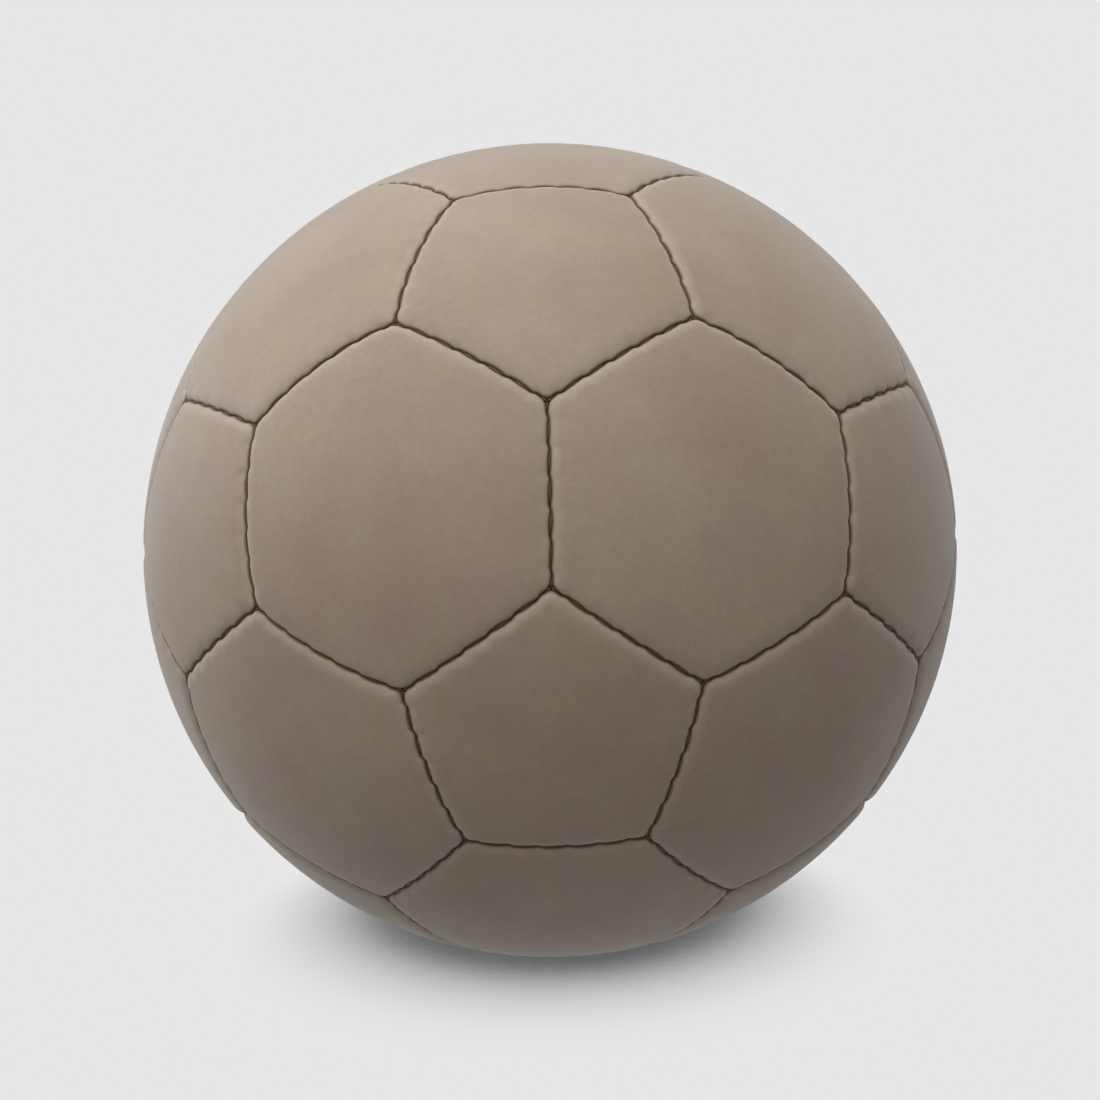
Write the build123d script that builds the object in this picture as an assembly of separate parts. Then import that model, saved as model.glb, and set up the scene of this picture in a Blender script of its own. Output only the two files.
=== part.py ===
from build123d import *
import math
import os

# A team ball sewn by hand from 32 turned-in panels: 12 pentagons and 20 hexagons.
#
# Frame: the origin is the centre of the ball and +Z is up. The ball stands on the middle of
# a hexagon, so +Z is a threefold axis of the pattern, and -Y is the front.
#
# From outside to inside: leather panels whose edges are turned in and face each other in the
# seams, a textile lining laminated in each panel, the waxed thread that ties the turned-in
# edges, the rubber bladder, and the valve, which is moulded to the bladder and comes out flush
# through the middle of a hexagon at the back.

# ---- Cover -------------------------------------------------------------------------------
ball_diameter = 187.8           # of the inflated ball, over the crowns of the panels
skin_thickness = 1.3            # coated leather of a panel
lining_thickness = 1.6          # woven backing, laminated to the skin
glue_line = 0.05                # between the skin and its lining
edge_roll_radius = 3.0          # the skin rolls over into the seam on this radius
turn_in_depth = 5.2             # the turned-in edge ends this far below the crown
seam_gap = 0.1                  # between the two edges that face each other in a seam

# ---- Thread ------------------------------------------------------------------------------
stitches_per_seam = 6
thread_width = 0.9              # flat waxed thread
thread_thickness = 0.5
thread_clearance = 0.05         # round the thread, in its slits and against the leather

# ---- Bladder and valve -------------------------------------------------------------------
bladder_wall = 1.0
bladder_clearance = 0.1         # between the bladder and the ends of the turned-in edges
valve_base_radius = 15.0        # disc of the valve body, vulcanised on the bladder
valve_base_thickness = 1.2
valve_stem_radius = 4.0
valve_stem_recess = 0.5         # top of the stem, below the crown of its panel
valve_stem_rounding = 0.5
valve_hole_clearance = 0.15     # round the stem, in the panel and in its lining
plug_radius = 2.5
plug_clearance = 0.05           # round the plug, in the stem
plug_recess = 0.3               # top of the plug, below the top of the stem
plug_length = 15.0
plug_tip_length = 5.0           # the flattened end that closes on the needle hole
plug_tip_thickness = 1.6
needle_bore_radius = 1.1
needle_bore_length = 9.0
needle_lead_in = 0.5            # cone at the mouth of the needle bore
slit_width = 0.2                # cut through the flattened end

# ---- Worked out from the sizes above -----------------------------------------------------
ball_radius = ball_diameter / 2
golden = (1 + math.sqrt(5)) / 2
# A truncated icosahedron of edge 1 has its corners on a sphere of this radius.
corner_sphere = math.hypot(1, 3 * golden) / 2
# The thread runs half way between the lining and the ends of the turned-in edges.
lining_depth = skin_thickness + glue_line + lining_thickness
stitch_radius = ball_radius - (lining_depth + turn_in_depth) / 2
edges_thickness = 2 * skin_thickness + seam_gap         # of a seam, across both edges
bladder_radius = ball_radius - turn_in_depth - bladder_clearance
seam_angle = math.degrees(2 * math.asin(1 / (2 * corner_sphere)))
spare_angle = 2                 # degrees that a section is turned past its mitres
stitch_angles = [
    seam_angle * ((i + 0.5) / stitches_per_seam - 0.5) for i in range(stitches_per_seam)
]
PENTAGON, HEXAGON = 5, 6


def mid_edge_angle(sides):
    """Degrees from a panel's own axis to the middle of each of its seams."""
    corner_angle = math.asin(1 / (2 * math.sin(math.pi / sides)) / corner_sphere)
    return math.degrees(math.atan(math.tan(corner_angle) * math.cos(math.pi / sides)))


# ---- The pattern -------------------------------------------------------------------------
def turned(vectors):
    """Unit vectors of the pattern, tilted so that a hexagon faces straight up."""
    tilt = math.degrees(math.atan(1 / golden**2))
    return [Vector(x, -z, y).normalized().rotate(Axis.X, -tilt) for x, y, z in vectors]


def cyclic(x, y, z):
    """The three cyclic orders of a point, with every change of sign."""
    points = set()
    for a, b, c in ((x, y, z), (y, z, x), (z, x, y)):
        for signs in range(8):
            points.add(tuple(
                v * (-1 if signs >> k & 1 else 1) + 0.0 for k, v in enumerate((a, b, c))
            ))
    return points


def in_order(axes):
    """From the top down, and round each ring from the front towards +X."""
    return sorted(axes, key=lambda a: (
        -round(a.Z, 3), round(math.atan2(a.X, -a.Y) % (2 * math.pi), 3)
    ))


pentagon_axes = in_order(turned(cyclic(0, 1, golden)))
hexagon_axes = in_order(turned(cyclic(1, 1, 1) | cyclic(1 / golden, 0, golden)))


def nearest(axis, others):
    return max(others, key=lambda other: round(axis.dot(other), 6))


def panel_place(axis, others):
    """Local Z along the panel's axis, and local X towards a neighbour of the other kind."""
    return Location(Plane(origin=(0, 0, 0), x_dir=nearest(axis, others) - axis, z_dir=axis))


# ---- Panels ------------------------------------------------------------------------------
# A panel is drawn in the section across one of its seams: the ball's centre is at the origin,
# the seam stands on local Z, and the panel lies at negative X.
def on_circle(centre, radius, angle):
    return centre + Vector(math.cos(angle), 0, math.sin(angle)) * radius


def under_crown(crown, roll, inset, end):
    """All that lies under a crown which rolls over and goes down beside the seam.

    It reaches from the seam to an angle past the panel's middle.
    """
    middle = Vector(0, 0, 0)
    height = math.sqrt((crown - roll) ** 2 - (inset + roll) ** 2)
    centre = Vector(-inset - roll, 0, height)
    turn = math.atan2(height, -inset - roll)
    foot = Vector(-inset, 0, height)
    shoulder = on_circle(middle, crown, turn)
    far = on_circle(middle, crown, end)
    return Face(Wire([
        Edge.make_line(middle, (-inset, 0, 0)),
        Edge.make_line((-inset, 0, 0), foot),
        Edge.make_three_point_arc(foot, on_circle(centre, roll, turn / 2), shoulder),
        Edge.make_three_point_arc(
            shoulder, on_circle(middle, crown, (turn + end) / 2), far
        ),
        Edge.make_line(far, middle),
    ]))


def set_in(depth, end):
    """The same, this far in from the face of the skin on every side."""
    return under_crown(
        ball_radius - depth, edge_roll_radius - depth, seam_gap / 2 + depth, end
    )


def skin_section(end):
    below = Plane.XZ * Circle(ball_radius - turn_in_depth)
    return set_in(0, end) - below - set_in(skin_thickness, end + math.radians(spare_angle))


def lining_section(end):
    return set_in(skin_thickness + glue_line, end) - Plane.XZ * Circle(
        ball_radius - lining_depth
    )


def at_stitches(solid):
    """A copy at each stitch of the seam that stands on local Z and runs along Y."""
    return [Rot(a, 0, 0) * Pos(0, 0, stitch_radius) * solid for a in stitch_angles]


def thread_slits():
    """What the awl leaves in the turned-in edges: a flat slit for each stitch."""
    return at_stitches(Box(
        edges_thickness + 2 * thread_clearance,
        thread_width + 2 * thread_clearance,
        thread_thickness + 2 * thread_clearance,
    ))


def round_panel(section, sides, slits=()):
    """The section turned along each seam, mitred at the corners and joined in the middle."""
    lean = mid_edge_angle(sides)
    sweep = seam_angle + 2 * spare_angle
    strip = Rot(-sweep / 2, 0, 0) * revolve(
        section(math.radians(90 + lean + spare_angle)), Axis.X, sweep
    )
    for slit in slits:
        strip -= slit
    half_width = ball_radius * math.tan(math.pi / sides)
    mitre = extrude(
        Pos(0, 0, ball_radius / 2)
        * Polygon((0, 0), (ball_radius, -half_width), (ball_radius, half_width), align=None),
        ball_radius,
    )
    side = Rot(0, lean, 0) * strip & mitre
    panel = side
    for k in range(1, sides):
        panel += Rot(0, 0, 360 / sides * k) * side
    return panel.solid()


# ---- Thread of one seam ------------------------------------------------------------------
def seam_thread():
    """Two needles sew a seam: a thread lies along the back of each turned-in edge, and both
    pass through every slit.
    """
    back = edges_thickness / 2 + thread_clearance
    end_angle = math.degrees(thread_width / 2 / stitch_radius)
    sweep = stitch_angles[-1] - stitch_angles[0] + 2 * end_angle
    run_section = Plane.XZ * Pos(back + thread_thickness / 2, stitch_radius) * Rectangle(
        thread_thickness, thread_width
    )
    run = Rot(-sweep / 2, 0, 0) * revolve(run_section, Axis.X, sweep)
    thread = run + mirror(run, Plane.YZ)
    for crossing in at_stitches(Box(2 * back + thread_thickness, thread_width, thread_thickness)):
        thread += crossing
    return thread.solid()


def neighbours(axis, others):
    """The axes of the panels that share a seam with this one."""
    beside = sorted((o for o in others if o is not axis), key=lambda o: -axis.dot(o))
    closest = axis.dot(beside[0])
    return [o for o in beside if axis.dot(o) > closest - 0.01]


def seam_places(axes, others, sides):
    """One place for each seam that the first panels share with the others.

    Local Z points out through the middle of the seam, and local X across it.
    """
    places = []
    for i, axis in enumerate(axes):
        for other in neighbours(axis, others):
            if axes is others and others.index(other) < i:
                continue
            towards = (other - axis * axis.dot(other)).normalized()
            lean = math.radians(mid_edge_angle(sides))
            middle = axis * math.cos(lean) + towards * math.sin(lean)
            across = towards * math.cos(lean) - axis * math.sin(lean)
            places.append(Location(Plane(origin=(0, 0, 0), x_dir=across, z_dir=middle)))
    return places


# ---- Valve -------------------------------------------------------------------------------
stem_top = ball_radius - valve_stem_recess
plug_top = stem_top - plug_recess
stem_hole = Cylinder(
    valve_stem_radius + valve_hole_clearance, 2 * ball_radius,
    align=(Align.CENTER, Align.CENTER, Align.MIN),
)


def valve_body():
    """Disc and stem in one piece of rubber, open down the middle for the plug."""
    disc = Sphere(bladder_radius + valve_base_thickness) & Cylinder(
        valve_base_radius, stem_top, align=(Align.CENTER, Align.CENTER, Align.MIN)
    )
    stem = Cylinder(
        valve_stem_radius, stem_top, align=(Align.CENTER, Align.CENTER, Align.MIN)
    )
    stem = fillet(stem.edges().sort_by(Axis.Z)[-1], valve_stem_rounding)
    hole = Cylinder(
        plug_radius + plug_clearance, 2 * ball_radius,
        align=(Align.CENTER, Align.CENTER, Align.MIN),
    )
    return (disc + stem - Sphere(bladder_radius) - hole).solid()


def valve_plug():
    """A round plug that flattens to a lip below, with the needle's bore and slit."""
    body_length = plug_length - plug_tip_length
    tip_top = plug_top - body_length
    body = Pos(0, 0, tip_top) * Cylinder(
        plug_radius, body_length, align=(Align.CENTER, Align.CENTER, Align.MIN)
    )
    tip = loft([
        Pos(0, 0, tip_top) * Circle(plug_radius),
        Pos(0, 0, tip_top - plug_tip_length) * Ellipse(plug_radius, plug_tip_thickness / 2),
    ])
    bore = Pos(0, 0, plug_top) * Cylinder(
        needle_bore_radius, needle_bore_length, align=(Align.CENTER, Align.CENTER, Align.MAX)
    )
    mouth = Pos(0, 0, plug_top) * Cone(
        needle_bore_radius, needle_bore_radius + needle_lead_in, needle_lead_in,
        align=(Align.CENTER, Align.CENTER, Align.MAX),
    )
    slit = Pos(0, 0, plug_top - needle_bore_length) * Box(
        2 * needle_bore_radius, slit_width, plug_length,
        align=(Align.CENTER, Align.CENTER, Align.MAX),
    )
    return (body + tip - bore - mouth - slit).solid()


# ---- Make and write every piece ----------------------------------------------------------
os.makedirs("parts", exist_ok=True)


def write(name, *solids):
    piece = solids[0] if len(solids) == 1 else Compound(children=list(solids))
    piece.label = name
    export_step(piece, f"parts/{name}.step")


valve_axis = nearest(Vector(0, 1, 0.4).normalized(), hexagon_axes)
valve_place = panel_place(valve_axis, pentagon_axes)

slits = thread_slits()
pentagon = round_panel(skin_section, PENTAGON, slits)
pentagon_lining = round_panel(lining_section, PENTAGON)
hexagon = round_panel(skin_section, HEXAGON, slits)
hexagon_lining = round_panel(lining_section, HEXAGON)
pentagon_places = [panel_place(a, hexagon_axes) for a in pentagon_axes]
plain_places = [panel_place(a, pentagon_axes) for a in hexagon_axes if a is not valve_axis]

for number, place in enumerate(pentagon_places, 1):
    write(f"pentagon_panel_{number:02d}", place * pentagon)
for number, place in enumerate(plain_places, 1):
    write(f"hexagon_panel_{number:02d}", place * hexagon)
write("valve_hexagon_panel", valve_place * (hexagon - stem_hole).solid())

write("pentagon_linings", *[place * pentagon_lining for place in pentagon_places])
write(
    "hexagon_linings",
    *[place * hexagon_lining for place in plain_places],
    valve_place * (hexagon_lining - stem_hole).solid(),
)

thread = seam_thread()
write(
    "pentagon_seam_threads",
    *[place * thread for place in seam_places(pentagon_axes, hexagon_axes, PENTAGON)],
)
write(
    "hexagon_seam_threads",
    *[place * thread for place in seam_places(hexagon_axes, hexagon_axes, HEXAGON)],
)

bladder_hole = Cylinder(
    plug_radius + plug_clearance, 2 * ball_radius,
    align=(Align.CENTER, Align.CENTER, Align.MIN),
)
bladder = Sphere(bladder_radius) - Sphere(bladder_radius - bladder_wall) - bladder_hole
write("bladder", valve_place * bladder.solid())
write("valve_body", valve_place * valve_body())
write("valve_plug", valve_place * valve_plug())

print("panels", len(pentagon_axes), "+", len(hexagon_axes), "of radius", round(ball_radius, 2))
print("needle bore mouth", [round(v, 3) for v in valve_axis * plug_top], "along",
      [round(v, 5) for v in valve_axis])
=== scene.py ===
import itertools
import math
import random

import bpy
import numpy as np
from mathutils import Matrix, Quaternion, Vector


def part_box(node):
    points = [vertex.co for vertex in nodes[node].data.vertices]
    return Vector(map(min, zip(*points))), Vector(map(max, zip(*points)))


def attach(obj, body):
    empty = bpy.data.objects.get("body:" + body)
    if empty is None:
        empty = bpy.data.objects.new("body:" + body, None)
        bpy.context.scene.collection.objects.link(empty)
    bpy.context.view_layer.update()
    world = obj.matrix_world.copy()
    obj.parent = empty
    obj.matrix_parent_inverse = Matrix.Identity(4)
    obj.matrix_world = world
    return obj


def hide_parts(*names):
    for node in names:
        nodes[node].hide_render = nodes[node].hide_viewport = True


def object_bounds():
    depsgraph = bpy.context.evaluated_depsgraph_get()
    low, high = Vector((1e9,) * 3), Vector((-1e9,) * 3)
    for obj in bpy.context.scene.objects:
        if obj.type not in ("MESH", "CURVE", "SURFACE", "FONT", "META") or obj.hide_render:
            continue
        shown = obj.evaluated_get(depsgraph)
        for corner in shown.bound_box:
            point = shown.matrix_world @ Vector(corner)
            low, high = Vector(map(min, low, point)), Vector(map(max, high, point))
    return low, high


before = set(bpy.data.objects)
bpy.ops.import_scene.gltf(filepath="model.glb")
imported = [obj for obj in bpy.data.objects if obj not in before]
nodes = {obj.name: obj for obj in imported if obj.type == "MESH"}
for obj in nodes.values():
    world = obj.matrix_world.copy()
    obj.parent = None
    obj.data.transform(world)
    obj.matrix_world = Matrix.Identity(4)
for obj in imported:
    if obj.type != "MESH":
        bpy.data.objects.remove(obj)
cad_low, cad_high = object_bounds()


# ---- Bladder -----------------------------------------------------------------------------
# The air bladder is one round bag of butyl rubber, dipped and vulcanised. It fills the cover
# from inside, and its skin is dull black with a fine dusting of talc.
MM = 0.001                      # lengths are in metres


def linear(hex_colour):
    """An sRGB hex colour as linear red, green, blue and alpha."""
    parts = [int(hex_colour[i:i + 2], 16) / 255 for i in (1, 3, 5)]
    return [v / 12.92 if v <= 0.04045 else ((v + 0.055) / 1.055) ** 2.4 for v in parts] + [1]


def add(tree, kind, settings=None, **links):
    """One node. A setting is an attribute, a socket's value or the stops of a colour ramp, and
    a link goes to a socket by name, or by number where several have one name."""
    node = tree.nodes.new("ShaderNode" + kind)
    for name, value in (settings or {}).items():
        if name == "stops":
            elements = node.color_ramp.elements
            for position, _ in value[2:]:
                elements.new(position)
            for element, (position, colour) in zip(elements, value):
                element.position, element.color = position, linear(colour)
        elif isinstance(name, str) and hasattr(node, name):
            setattr(node, name, value)
        else:
            node.inputs[name].default_value = value
    for name, socket in links.items():
        into = int(name[1:]) if name[1:].isdigit() else name.replace("_", " ")
        tree.links.new(socket, node.inputs[into])
    return node


def finish_named(name):
    """A new material, its node tree and its Principled shader."""
    material = bpy.data.materials.new(name)
    material.use_nodes = True
    tree = material.node_tree
    return material, tree, tree.nodes["Principled BSDF"]


def dress(node_name, material):
    """Gives a CAD node its finish."""
    slots = nodes[node_name].data.materials
    slots.clear()
    slots.append(material)


talc_patch = 12 * MM

butyl, tree, shader = finish_named("dipped_butyl_rubber")
place = add(tree, "TexCoord").outputs["Object"]
talc = add(tree, "TexNoise", {"Scale": 1 / talc_patch, "Detail": 5.0}, Vector=place)
dusted = add(
    tree, "ValToRGB", {"stops": [(0.45, "#17171a"), (0.8, "#3b3a3a")]}, Fac=talc.outputs["Fac"]
)
tree.links.new(dusted.outputs["Color"], shader.inputs["Base Color"])
shader.inputs["Roughness"].default_value = 0.6
dress("bladder", butyl)

# ---- Valve -------------------------------------------------------------------------------
# A disc and stem of moulded rubber, vulcanised to the bladder, and a plug pushed into the stem.
# The mould leaves them satin brown with fine pores. Only the top of the stem and the dimple for
# the needle show.
bloom_patch = 2.5 * MM
pore_size, pore_depth = 0.25 * MM, 0.05 * MM

moulded, tree, shader = finish_named("moulded_natural_rubber")
place = add(tree, "TexCoord").outputs["Object"]
haze = add(tree, "TexNoise", {"Scale": 1 / bloom_patch, "Detail": 4.0}, Vector=place)
bloom = add(
    tree, "ValToRGB", {"stops": [(0.0, "#2a2420"), (1.0, "#473c34")]}, Fac=haze.outputs["Fac"]
)
pores = add(tree, "TexNoise", {"Scale": 1 / pore_size, "Detail": 3.0}, Vector=place)
relief = add(
    tree, "Bump", {"Strength": 0.35, "Distance": pore_depth}, Height=pores.outputs["Fac"]
)
tree.links.new(bloom.outputs["Color"], shader.inputs["Base Color"])
tree.links.new(relief.outputs["Normal"], shader.inputs["Normal"])
shader.inputs["Roughness"].default_value = 0.5
dress("valve_body", moulded)
dress("valve_plug", moulded)

# ---- Linings -----------------------------------------------------------------------------
# Two crossed layers of polyester and cotton cloth, glued together and laminated behind the
# skin of each panel. A plain weave in raw, slightly uneven yarn.
yarn_pitch, yarn_relief = 0.55 * MM, 0.15 * MM
weave_scale = math.pi / 10 / yarn_pitch     # a wave texture's scale for bands one pitch apart

woven, tree, shader = finish_named("laminated_plain_weave")
place = add(tree, "TexCoord").outputs["Object"]
warp, weft = (
    add(
        tree, "TexWave", {"Scale": weave_scale, "bands_direction": way, "Distortion": 0.6},
        Vector=place,
    ).outputs["Fac"]
    for way in ("X", "Y")
)
crossing = add(tree, "Math", {"operation": "MULTIPLY"}, _0=warp, _1=weft).outputs["Value"]
cloth = add(tree, "ValToRGB", {"stops": [(0.0, "#a89d86"), (1.0, "#e2dac7")]}, Fac=crossing)
relief = add(tree, "Bump", {"Strength": 0.6, "Distance": yarn_relief}, Height=crossing)
tree.links.new(cloth.outputs["Color"], shader.inputs["Base Color"])
tree.links.new(relief.outputs["Normal"], shader.inputs["Normal"])
shader.inputs["Roughness"].default_value = 0.9
dress("pentagon_linings", woven)
dress("hexagon_linings", woven)

# ---- Seams -------------------------------------------------------------------------------
# Ninety seams join 12 pentagons and 20 hexagons. Each is sewn by hand from the inside with
# two needles, so the edges are pinched together at every stitch, gape a little between two
# stitches, and bow towards whichever panel was cut or filled smaller.
ball_radius = (cad_high.z - cad_low.z) / 2
golden = (1 + math.sqrt(5)) / 2
stitches = 6                    # along one seam
slant = 0.23 * MM               # sideways step of the seam at a stitch
gape = 0.58 * MM                # opening half way between two stitches
closed = 0.18 * MM              # opening at a stitch
slant_spread = (0.7, 1.2)       # as factors, how far a hand varies the slant,
gape_spread = (0.7, 1.25)       # the gape
pull_spread = (0.6, 1.3)        # and the pull of a stitch
corner_share, bow_share = 0.55, 0.9     # of a panel's fullness, at a corner and along a seam
bow_power = 2.6                 # 2 is a round bow, and more is flatter in the middle
saw_scale = 0.64                # brings the slanted steps' three waves to about one
gape_power = 1.3                # more than 1 closes the gap softly at the stitches


def unit(v):
    """A vector, or each row of vectors, at length one."""
    return v / np.linalg.norm(v, axis=-1, keepdims=True)


def cyclic(x, y, z):
    """The points that x, y and z give in each turned order and with every choice of signs."""
    return {
        tuple(v * sign + 0.0 for v, sign in zip(order, signs))
        for order in ((x, y, z), (y, z, x), (z, x, y))
        for signs in itertools.product((1, -1), repeat=3)
    }


def turned(points):
    """Unit vectors of the pattern, tilted so that a hexagon faces straight up."""
    tilt = -math.atan(1 / golden**2)
    cos, sin = math.cos(tilt), math.sin(tilt)
    return [
        unit(np.array([x, -z * cos - y * sin, -z * sin + y * cos]))
        for x, y, z in sorted(points)
    ]


pentagon_axes = turned(cyclic(0, 1, golden))
hexagon_axes = turned(cyclic(1, 1, 1) | cyclic(1 / golden, 0, golden))
panels = {}                     # panel name: its axis
for name, node in nodes.items():
    if "_panel" in name:
        towards = unit(np.array([v.co for v in node.data.vertices]).mean(0))
        axes = pentagon_axes if name.startswith("pentagon") else hexagon_axes
        panels[name] = max(axes, key=lambda axis: float(axis @ towards))
panel_names = sorted(panels)

# How far, in millimetres, each panel's fullness pushes its seams outwards. The front ones are
# as they lie on this ball, and the others differ by chance.
fullness = {
    "hexagon_panel_09": 0.75, "hexagon_panel_04": 0.55, "pentagon_panel_01": 0.45,
    "hexagon_panel_03": -0.75, "hexagon_panel_02": -0.25, "pentagon_panel_06": -0.35,
    "pentagon_panel_07": 0.35, "hexagon_panel_15": -0.35, "pentagon_panel_04": 0.0,
    "hexagon_panel_10": 0.05, "hexagon_panel_16": -0.15, "hexagon_panel_01": -1.4,
    "hexagon_panel_08": -2.0, "hexagon_panel_14": -2.0, "hexagon_panel_05": -1.8,
    "hexagon_panel_11": -1.8,
}
fullness_spread = (-0.5, 0.5)
chance = random.Random(32)
for name in panel_names:
    if name not in fullness:
        fullness[name] = chance.uniform(*fullness_spread)

# A corner of the pattern lies a third of the way from one pentagon's axis to the next one's.
nearest_pentagons = max(float(p @ q) for p, q in itertools.combinations(pentagon_axes, 2))
even_corners = [
    unit(2 * p + q)
    for p, q in itertools.permutations(pentagon_axes, 2)
    if abs(float(p @ q) - nearest_pentagons) < 0.001
]


def corner_panels(corner):
    """The three panels that meet at a corner, which are those with the nearest axes."""
    return sorted(sorted(panel_names, key=lambda name: -float(corner @ panels[name]))[:3])


corners = []                    # where each corner lies, and its panels
for corner in even_corners:
    moved = corner.copy()
    for name in corner_panels(corner):
        away = corner - panels[name]
        away -= corner * float(away @ corner)
        moved = moved + unit(away) * fullness[name] * corner_share * MM / ball_radius
    corners.append((unit(moved), set(corner_panels(corner))))

seams = {}                      # two panel names: the seam's numbers
for (start, start_panels), (end, end_panels) in itertools.combinations(corners, 2):
    shared = sorted(start_panels & end_panels)
    if len(shared) != 2:
        continue
    left, right = shared
    across = unit(np.cross(start, end))
    if float(across @ panels[right]) < 0:
        start, end, across = end, start, -across
    seams[left, right] = {
        "start": start, "end": end, "across": across,
        "bow": bow_share * MM * (fullness[left] - fullness[right]),
        "slant": slant * chance.choice((-1, 1, 1)) * chance.uniform(*slant_spread),
        "gape": [gape * chance.uniform(*gape_spread) for _ in range(stitches + 1)],
        "pull": [chance.uniform(*pull_spread) for _ in range(stitches)],
    }


def seam_shift(seam, share):
    """How far the seam lies towards its right panel, at a share of its length."""
    beat = share * stitches
    saw = sum((-1) ** (k + 1) * np.sin(2 * math.pi * k * beat) / k for k in (1, 2, 3))
    bow = 1 - np.abs(2 * share - 1) ** bow_power
    return seam["bow"] * bow + seam["slant"] * saw * saw_scale


def seam_opening(seam, share):
    """Half the opening between the two edges."""
    beat = share * stitches
    between = np.abs(np.cos(math.pi * beat)) ** gape_power
    size = np.interp(beat, range(stitches + 1), [gape, *seam["gape"][1:-1], gape])
    return (closed + (size - closed) * between) / 2


def at_stitch(share):
    """One at a stitch, and nothing half way between two."""
    return (0.5 - 0.5 * np.cos(2 * math.pi * share * stitches)) ** 2


# ---- Panels ------------------------------------------------------------------------------
# Each panel is cut from coated microfibre, a soft synthetic leather, and pressed round by the
# air behind it. Its edges roll over into the seam and are turned in against their neighbours.
skin = 1.3 * MM
turn_in = 5.0 * MM              # depth of the turned-in edge below the crown
turn_in_bend = 1.2 * MM         # from the foot of the roll-over to where the edge is straight
roll_width, roll_drop, roll_steps = 3.4 * MM, 1.05 * MM, 9
tug, tug_width = 0.2 * MM, 1.3 * MM     # how a stitch draws the roll down beside it
puff, puff_width, puff_from_edge = 0.05 * MM, 1.2 * MM, 1.5 * MM    # and how it rises between
shoulders = (4.4 * MM, 6.2 * MM)        # rings between the roll and the middle, from the edge
shrinks = (0.84, 0.68, 0.5, 0.32, 0.16)     # rings of the middle, as shares of the last one
valve_shrinks = (0.84, 0.68, 0.5, 0.3)      # the same, round the valve hole
finest_middle = 48              # points of a ring that is fine enough near the middle
corner_rounding = 0.8 * MM
samples_per_seam = 64
past_corner = math.radians(27)  # from a panel's axis, farther than any of its corners
halvings = 26
aside = (0.3, 0.2, 1.0)         # no panel faces this way
valve_hole = 4.15 * MM
# The valve hole is punched, and its rim is pressed down a little round the stem: distance
# from the hole's edge and depth, in millimetres.
valve_rim = ((0.9, 0.02), (0.4, 0.1), (0.12, 0.3), (0.0, 0.6), (0.0, 1.3))
valve_low, valve_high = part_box("valve_plug")
valve_axis = unit(np.array(valve_low + valve_high))
valve_panel = max(panel_names, key=lambda name: float(panels[name] @ valve_axis))


def panel_outline(name):
    """The panel's axis, the local east and north of it, and its seams in order round it."""
    axis = panels[name]
    east = unit(np.cross(aside, axis))
    north = np.cross(axis, east)
    own = [(pair, seam) for pair, seam in seams.items() if name in pair]

    def bearing(item):
        middle = item[1]["start"] + item[1]["end"]
        return math.atan2(float(middle @ north), float(middle @ east))

    return axis, east, north, sorted(own, key=bearing)


def seam_samples(name, east, north, own):
    """Bearings of points along the panel's seams, anticlockwise, and a stitch's pull at each."""
    shares = (np.arange(samples_per_seam) + 0.5) / samples_per_seam
    bearings, pulls = [], []
    for pair, seam in own:
        share = shares if pair[1] == name else 1 - shares
        line = seam["start"] * (1 - share)[:, None] + seam["end"] * share[:, None]
        tension = np.array(seam["pull"])[(share * stitches).astype(int)]
        bearings.append(np.arctan2(line @ north, line @ east))
        pulls.append(tension * at_stitch(share))
    return np.concatenate(bearings), np.concatenate(pulls)


def soft_least(a, b, width):
    """The lesser of two distances, rounded off where they are nearly equal."""
    near = np.maximum(width - np.abs(a - b), 0) / width
    return np.minimum(a, b) - near * near * width / 4


def depth_from_seams(points, name, own):
    """Distance in metres from the nearest seam's edge, inside the panel."""
    least = None
    for pair, seam in own:
        side = 1 if pair[1] == name else -1
        along = unit(seam["end"] - seam["start"])
        length = math.acos(float(seam["start"] @ seam["end"]))
        middle = unit(seam["start"] + seam["end"])
        share = np.clip(np.arctan2(points @ along, points @ middle) / length + 0.5, 0, 1)
        distance = side * (
            ball_radius * np.arcsin(np.clip(points @ seam["across"], -1, 1))
            - seam_shift(seam, share)
        ) - seam_opening(seam, share)
        least = distance if least is None else soft_least(least, distance, corner_rounding)
    return least


def ring_at(inset, name, axis, flat, own):
    """Angles from the panel's axis to the points that lie this far in from its edge."""
    low, high = np.zeros(len(flat)), np.full(len(flat), past_corner)
    for _ in range(halvings):
        middle = (low + high) / 2
        points = np.cos(middle)[:, None] * axis + np.sin(middle)[:, None] * flat
        inside = depth_from_seams(points, name, own) > inset
        low, high = np.where(inside, middle, low), np.where(inside, high, middle)
    return (low + high) / 2


def edge_rings(name, axis, flat, own, pulls):
    """Rings of the turned-in edge and its roll-over. A ring is its angles from the panel's axis,
    the ways they go, its radius and its distance from the edge."""
    edge = ring_at(0.0, name, axis, flat, own)
    inner_edge = ring_at(skin, name, axis, flat, own)
    rings = [
        (inner_edge, flat, ball_radius - skin - roll_drop, 0.0),
        (inner_edge, flat, ball_radius - turn_in, 0.0),
        (edge, flat, ball_radius - turn_in, 0.0),
        (edge, flat, ball_radius - roll_drop - turn_in_bend, 0.0),
    ]
    for k in range(roll_steps + 1):
        swing = math.pi / 2 * k / roll_steps        # the roll is a quarter of an ellipse
        inset = roll_width * (1 - math.cos(swing))
        drop = roll_drop * (1 - math.sin(swing))
        drawn = pulls * tug * math.exp(-inset / tug_width)
        risen = (1 - pulls) * puff * math.exp(-((inset - puff_from_edge) / puff_width) ** 2)
        angles = ring_at(inset, name, axis, flat, own)
        rings.append((angles, flat, ball_radius - drop - drawn + risen, inset))
    for inset in shoulders:
        rings.append((ring_at(inset, name, axis, flat, own), flat, ball_radius, inset))
    return rings


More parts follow.
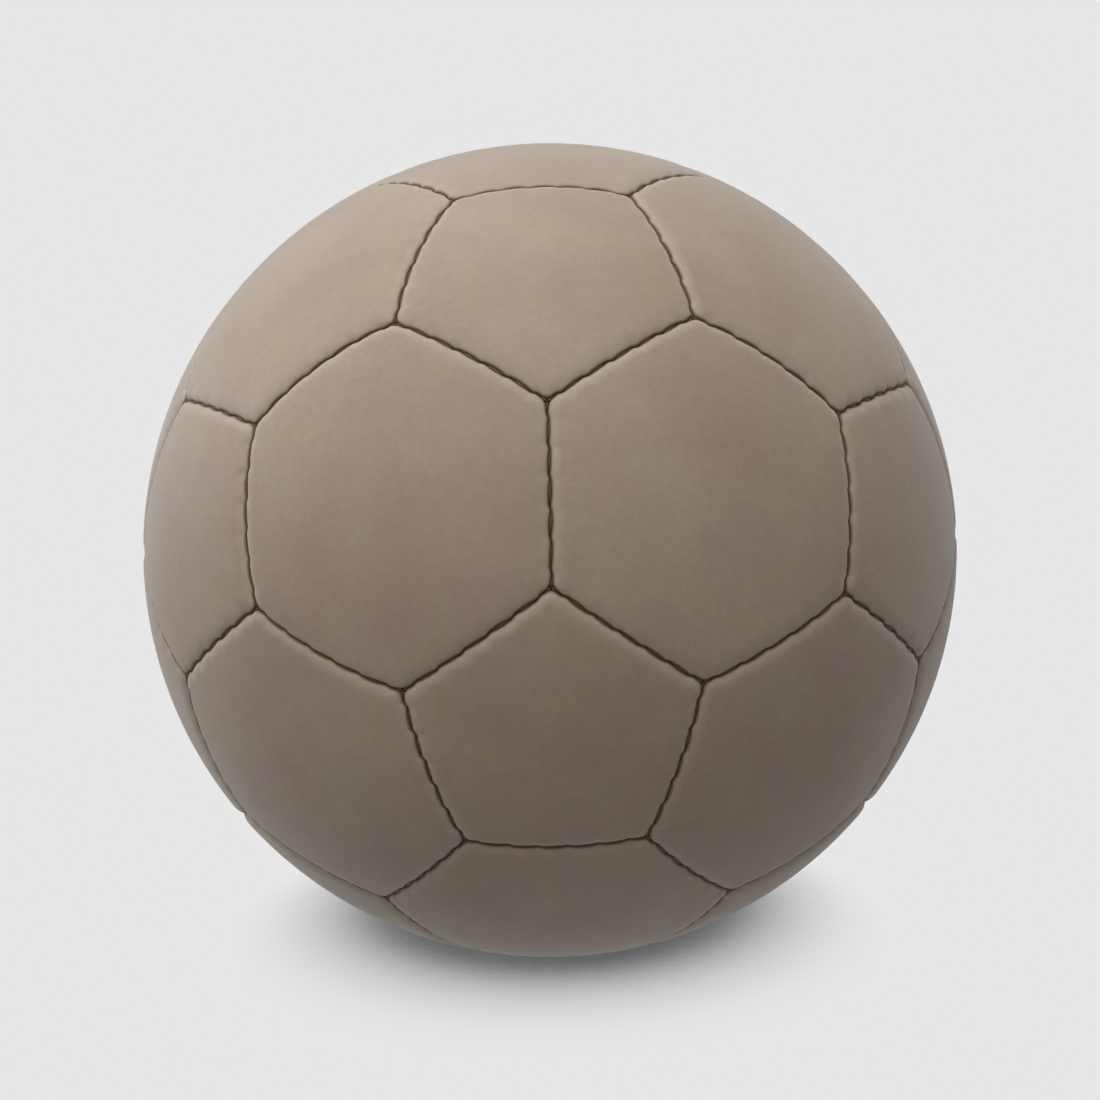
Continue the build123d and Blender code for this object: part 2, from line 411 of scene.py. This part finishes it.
def middle_rings(name, angles, flat):
    """The rest of the panel, coarser towards its middle or the valve hole's rim."""
    rings = []
    hole = valve_hole / ball_radius if name == valve_panel else 0.0
    for share in valve_shrinks if hole else shrinks:
        if len(angles) > finest_middle and len(angles) % 2 == 0:
            angles, flat = angles[::2], flat[::2]
        rings.append((angles * share + hole * (1 - share), flat, ball_radius, shoulders[-1]))
    if hole:
        for spread, drop in valve_rim:
            rim = np.full(len(angles), hole + spread * MM / ball_radius)
            rings.append((rim, flat, ball_radius - drop * MM, spread * MM))
    return rings


def bridge(faces, first, second, outer_count, inner_count):
    """Faces between two closed rings, the inner one as fine as the outer or half as fine."""
    if outer_count == inner_count:
        for k in range(outer_count):
            n = (k + 1) % outer_count
            faces.append((first + k, first + n, second + n, second + k))
        return
    for k in range(inner_count):
        a, b, c = 2 * k, 2 * k + 1, (2 * k + 2) % outer_count
        n = (k + 1) % inner_count
        faces.append((first + a, first + b, second + k))
        faces.append((first + b, first + c, second + n, second + k))


def make_panel(name):
    """One panel's cover, laid ring by ring from its turned-in edge to its middle."""
    axis, east, north, own = panel_outline(name)
    bearings, pulls = seam_samples(name, east, north, own)
    flat = np.cos(bearings)[:, None] * east + np.sin(bearings)[:, None] * north
    rings = edge_rings(name, axis, flat, own, pulls)
    rings += middle_rings(name, rings[-1][0], flat)

    vertices, faces, from_edge = [], [], []
    first = count = 0
    for angles, ways, radius, inset in rings:
        points = np.cos(angles)[:, None] * axis + np.sin(angles)[:, None] * ways
        vertices.append(points * np.broadcast_to(radius, angles.shape)[:, None])
        from_edge.append(np.full(len(angles), inset / MM))
        if count:
            bridge(faces, first, first + count, count, len(angles))
            first += count
        count = len(angles)
    if name != valve_panel:
        vertices.append(axis[None, :] * ball_radius)
        from_edge.append([shoulders[-1] / MM])
        for k in range(count):
            faces.append((first + k, first + (k + 1) % count, first + count))

    mesh = bpy.data.meshes.new(name + "_cover")
    mesh.from_pydata(np.concatenate(vertices).tolist(), [], faces)
    mesh.validate()
    mesh.shade_smooth()
    layer = mesh.attributes.new("from_edge", "FLOAT", "POINT")      # in millimetres
    layer.data.foreach_set("value", np.concatenate(from_edge).astype(np.float32))
    piece = bpy.data.objects.new(name + "_cover", mesh)
    bpy.context.scene.collection.objects.link(piece)
    return piece


# The leather is matte. Its dyed coat varies slowly, is handled warmer or greyer in patches, and
# is faintly grained. Near a seam it is painted pale, partly rubbed wear and partly a painted
# highlight on the roll, and in the seam it is painted brown, partly soil and partly painted
# shade.
dye_patch, hand_patch, fleck_size, rub_patch = 34 * MM, 11 * MM, 1.6 * MM, 5 * MM
grain_size = 0.9 * MM           # real grain is about 0.3 mm, drawn coarser so that it shows
fibre_size, grain_depth = 0.5 * MM, 0.08 * MM
# Where the pale band of rubbed wear and painted highlight begins and where it is full
rub_and_highlight_starts, rub_and_highlight_full = 2.6, 0.9         # millimetres from the edge
# Where the brown of soil and painted shade in the seam ends
soil_and_shade_ends = 0.62                        # millimetres from the edge

leather, tree, shader = finish_named("coated_microfibre_leather")
place = add(tree, "TexCoord").outputs["Object"]


def stained(size, low_colour, high_colour, under=None):
    """Noise of this size between two colours, multiplied over what lies under it."""
    noise = add(tree, "TexNoise", {"Scale": 1 / size, "Detail": 3.0}, Vector=place)
    tone = add(
        tree, "ValToRGB", {"stops": [(0.38, low_colour), (0.62, high_colour)]},
        Fac=noise.outputs["Fac"],
    ).outputs["Color"]
    if under is None:
        return tone
    return add(
        tree, "Mix", {"data_type": "RGBA", "blend_type": "MULTIPLY", 0: 1.0}, _6=under, _7=tone
    ).outputs[2]


coat = stained(dye_patch, "#a19080", "#a89988")
coat = stained(hand_patch, "#fffef7", "#fdf8fb", under=coat)
coat = stained(fleck_size, "#f9f8f7", "#ffffff", under=coat)
from_edge = add(tree, "Attribute", {"attribute_name": "from_edge"}).outputs["Fac"]
rub = add(tree, "TexNoise", {"Scale": 1 / rub_patch, "Detail": 2.0}, Vector=place).outputs["Fac"]
# A pale band near the edge, partly rubbed wear and partly a painted highlight on the roll
near_edge = add(
    tree, "MapRange",
    {"From Min": rub_and_highlight_starts, "From Max": rub_and_highlight_full, "To Min": 0.0, "To Max": 0.75},
    Value=from_edge,
).outputs["Result"]
wear_and_highlight = add(tree, "Math", {"operation": "MULTIPLY"}, _0=near_edge, _1=rub).outputs["Value"]
# Brown in the seam, partly soil and partly painted shade in the groove
soil_and_shade = add(
    tree, "MapRange",
    {"interpolation_type": "SMOOTHERSTEP", "From Max": soil_and_shade_ends, "To Min": 1.0, "To Max": 0.0},
    Value=from_edge,
).outputs["Result"]
# Pale wear with a painted highlight on the roll, then soil with painted shade in the seam
for share, colour in ((wear_and_highlight, "#b8ab9a"), (soil_and_shade, "#6b5339")):
    coat = add(
        tree, "Mix", {"data_type": "RGBA", 7: linear(colour)}, _0=share, _6=coat
    ).outputs[2]
grain = add(tree, "TexVoronoi", {"Scale": 1 / grain_size}, Vector=place)
fibre = add(tree, "TexNoise", {"Scale": 1 / fibre_size, "Detail": 3.0}, Vector=place)
both = add(
    tree, "Mix", {"data_type": "FLOAT", 0: 0.5}, _2=grain.outputs["Distance"],
    _3=fibre.outputs["Fac"],
).outputs[0]
relief = add(tree, "Bump", {"Strength": 0.4, "Distance": grain_depth}, Height=both)
polish = add(tree, "MapRange", {"To Min": 0.56, "To Max": 0.7}, Value=rub)
tree.links.new(coat, shader.inputs["Base Color"])
tree.links.new(relief.outputs["Normal"], shader.inputs["Normal"])
tree.links.new(polish.outputs["Result"], shader.inputs["Roughness"])
shader.inputs["IOR"].default_value = 1.48
shader.inputs["Sheen Weight"].default_value = 0.31

for name in panel_names:
    piece = make_panel(name)
    piece.data.materials.append(leather)
    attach(piece, "root")
    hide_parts(name)

# ---- Thread ------------------------------------------------------------------------------
# A flat polyester thread laces the turned-in edges together from inside. It is squeezed between
# them, so it shows as a short slanted dash between two stitches, dark with wax.
thread_thickness = 0.5 * MM
squeeze = 0.02 * MM             # left free on each side between the edges
dash_depth, hole_depth = 1.15 * MM, 2.0 * MM    # below the crown
seam_end = 0.004                # share of a seam that the thread leaves free at each end
points_per_dash, sides_round = 12, 8
strand_size, strand_relief = 0.3 * MM, 0.08 * MM

waxed, tree, shader = finish_named("waxed_polyester_thread")
place = add(tree, "TexCoord").outputs["Object"]
strands = add(tree, "TexNoise", {"Scale": 1 / strand_size, "Detail": 3.0}, Vector=place)
wax = add(
    tree, "ValToRGB", {"stops": [(0.0, "#422e1d"), (1.0, "#5f452d")]}, Fac=strands.outputs["Fac"]
)
relief = add(
    tree, "Bump", {"Strength": 0.5, "Distance": strand_relief}, Height=strands.outputs["Fac"]
)
tree.links.new(wax.outputs["Color"], shader.inputs["Base Color"])
tree.links.new(relief.outputs["Normal"], shader.inputs["Normal"])
shader.inputs["Roughness"].default_value = 0.45


def lay_thread(seam, vertices, faces):
    """One seam's thread, added to the lists of a mesh."""
    along = unit(seam["end"] - seam["start"])
    middle = unit(seam["start"] + seam["end"])
    length = math.acos(float(seam["start"] @ seam["end"]))
    share = np.linspace(seam_end, 1 - seam_end, stitches * points_per_dash)
    radius = ball_radius - dash_depth - at_stitch(share) * (hole_depth - dash_depth)
    angle = (share - 0.5) * length
    outward = np.cos(angle)[:, None] * middle + np.sin(angle)[:, None] * along
    outward = unit(outward + (seam_shift(seam, share) / ball_radius)[:, None] * seam["across"])
    half_width = seam_opening(seam, share) - squeeze
    first = len(vertices)
    for point, reach, half in zip(outward, radius, half_width):
        for turn in np.arange(sides_round) * 2 * math.pi / sides_round:
            vertices.append(tuple(
                point * (reach + thread_thickness / 2 * math.sin(turn))
                + seam["across"] * half * math.cos(turn)
            ))
    last = first + (len(share) - 1) * sides_round
    for ring in range(first, last, sides_round):
        for j in range(sides_round):
            a, b = ring + j, ring + (j + 1) % sides_round
            faces.append((a, b, b + sides_round, a + sides_round))
    faces.append(tuple(first + j for j in reversed(range(sides_round))))
    faces.append(tuple(last + j for j in range(sides_round)))


for kind in ("pentagon", "hexagon"):
    vertices, faces = [], []
    for pair, seam in seams.items():
        if any(name.startswith("pentagon") for name in pair) == (kind == "pentagon"):
            lay_thread(seam, vertices, faces)
    mesh = bpy.data.meshes.new(kind + "_thread_dashes")
    mesh.from_pydata(vertices, [], faces)
    mesh.shade_smooth()
    mesh.materials.append(waxed)
    dashes = bpy.data.objects.new(kind + "_thread_dashes", mesh)
    bpy.context.scene.collection.objects.link(dashes)
    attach(dashes, "root")
    dress(kind + "_seam_threads", waxed)        # the thread behind the edges

# ---- Floor -------------------------------------------------------------------------------
# A sheet of pale paper that runs back and curves up behind the ball. It glows and takes no
# light. To the camera it shows its own colour with a painted contact shadow, darker where the
# ball hides it from the front, and to the ball it glows dim but for its sheen.
floor_level = cad_low.z
paper_width, run_front, run_back, bend, rise = 14.0, 3.0, 9.0, 2.0, 5.0
bend_steps = 24
dim_paper, white_paper = 0.225, 0.84
paper_colour = "#e7e7e7"
shadow_reach = 0.3 * ball_radius
shadow_lean = math.radians(60)  # towards the front, which keeps the shadow short there
# How open the paper is above, and the tone of painted shadow that it then shows.
shadow_tones = [
    (0.5, "#606060"), (0.55, "#7a7a7a"), (0.62, "#a4a4a4"), (0.7, "#c0c0c0"),
    (0.8, "#d4d4d4"), (0.92, "#e2e2e2"), (1.0, paper_colour),
]

profile = [(-run_front, 0.0), (run_back, 0.0)]
for k in range(1, bend_steps + 1):
    turn = math.pi / 2 * k / bend_steps
    profile.append((run_back + bend * math.sin(turn), bend * (1 - math.cos(turn))))
profile.append((run_back + bend, rise))
points = [
    (x, y, floor_level + z) for y, z in profile for x in (-paper_width / 2, paper_width / 2)
]
quads = [(2 * k, 2 * k + 1, 2 * k + 3, 2 * k + 2) for k in range(len(profile) - 1)]
mesh = bpy.data.meshes.new("paper_sweep")
mesh.from_pydata(points, [], quads)
mesh.shade_smooth()
sweep = bpy.data.objects.new("paper_sweep", mesh)
bpy.context.scene.collection.objects.link(sweep)


def thrown_back(tree):
    """The surround's strength for the ball, and whether it is the camera that looks at it."""
    rays = add(tree, "LightPath")
    return add(
        tree, "Mix", {"data_type": "FLOAT", 2: dim_paper, 3: white_paper},
        _0=rays.outputs["Is Glossy Ray"],
    ).outputs[0], rays.outputs["Is Camera Ray"]


paper, tree, shader = finish_named("pale_paper")
tree.nodes.remove(shader)
strength, seen = thrown_back(tree)
glow = add(tree, "Emission", {}, Strength=strength)
leaning = add(
    tree, "CombineXYZ", {"Y": -math.sin(shadow_lean), "Z": math.cos(shadow_lean)}
)
hidden = add(
    tree, "AmbientOcclusion", {"samples": 24, "Distance": shadow_reach},
    Normal=leaning.outputs["Vector"],
)
# A painted contact shadow: the paper's glow darkens by how much the ball hides it
shade = add(tree, "ValToRGB", {"stops": shadow_tones}, Fac=hidden.outputs["AO"])
sheet = add(tree, "Emission", {}, Color=shade.outputs["Color"])
either = add(
    tree, "MixShader", {}, _0=seen, _1=glow.outputs["Emission"],
    _2=sheet.outputs["Emission"],
)
tree.links.new(either.outputs["Shader"], tree.nodes["Material Output"].inputs["Surface"])
sweep.data.materials.append(paper)

# ---- Light -------------------------------------------------------------------------------
# Five large softboxes: the strongest overhead, one high behind, two on the left and a weak one
# on the right. The surround is like the paper: dim to the ball, white in a sheen, and pale to
# the camera.
softbox_distance, softbox_width = 2.0, 1.5
softboxes = {                   # name: azimuth and elevation in degrees, and watts
    "back_softbox": (-152, 66, 13.2),
    "left_softbox": (-52, 48, 8.6),
    "low_softbox": (-112, 20, 9.5),
    "right_softbox": (90, 68, 2.2),
    "top_softbox": (-12, 68, 15.0),
}

world = bpy.data.worlds.new("grey_studio")
bpy.context.scene.world = world
world.use_nodes = True
surround = world.node_tree.nodes["Background"]
surround.inputs["Color"].default_value = (1, 1, 1, 1)
strength, seen = thrown_back(world.node_tree)
brightness = add(
    world.node_tree, "Mix", {"data_type": "FLOAT", 3: linear(paper_colour)[0]}, _0=seen,
    _2=strength,
)
world.node_tree.links.new(brightness.outputs[0], surround.inputs["Strength"])

for name, (azimuth, elevation, watts) in softboxes.items():
    turn, lift = math.radians(azimuth), math.radians(elevation)
    light = bpy.data.lights.new(name, "AREA")
    light.shape, light.size, light.energy = "DISK", softbox_width, watts
    box = bpy.data.objects.new(name, light)
    box.location = [softbox_distance * v for v in (
        math.sin(turn) * math.cos(lift), -math.cos(turn) * math.cos(lift), math.sin(lift)
    )]
    box.rotation_euler = (-box.location).to_track_quat("-Z", "Y").to_euler()
    bpy.context.scene.collection.objects.link(box)

# ---- Camera ------------------------------------------------------------------------------
# A long lens in front, a little above the middle of the ball and aimed at it, and rolled by
# about a degree.
distance = 6.81 * ball_radius
height_angle = math.radians(13.8)
lean = math.radians(1.3)
camera = bpy.data.objects.new("camera", bpy.data.cameras.new("camera"))
camera.data.lens = 89.7
camera.location = (
    0, -distance * math.cos(height_angle), distance * math.sin(height_angle)
)
camera.rotation_mode = "QUATERNION"
look = (-camera.location).to_track_quat("-Z", "Y")
camera.rotation_quaternion = look @ Quaternion((0, 0, 1), -lean)
bpy.context.scene.collection.objects.link(camera)
bpy.context.scene.camera = camera
bpy.context.scene.view_settings.view_transform = "Standard"
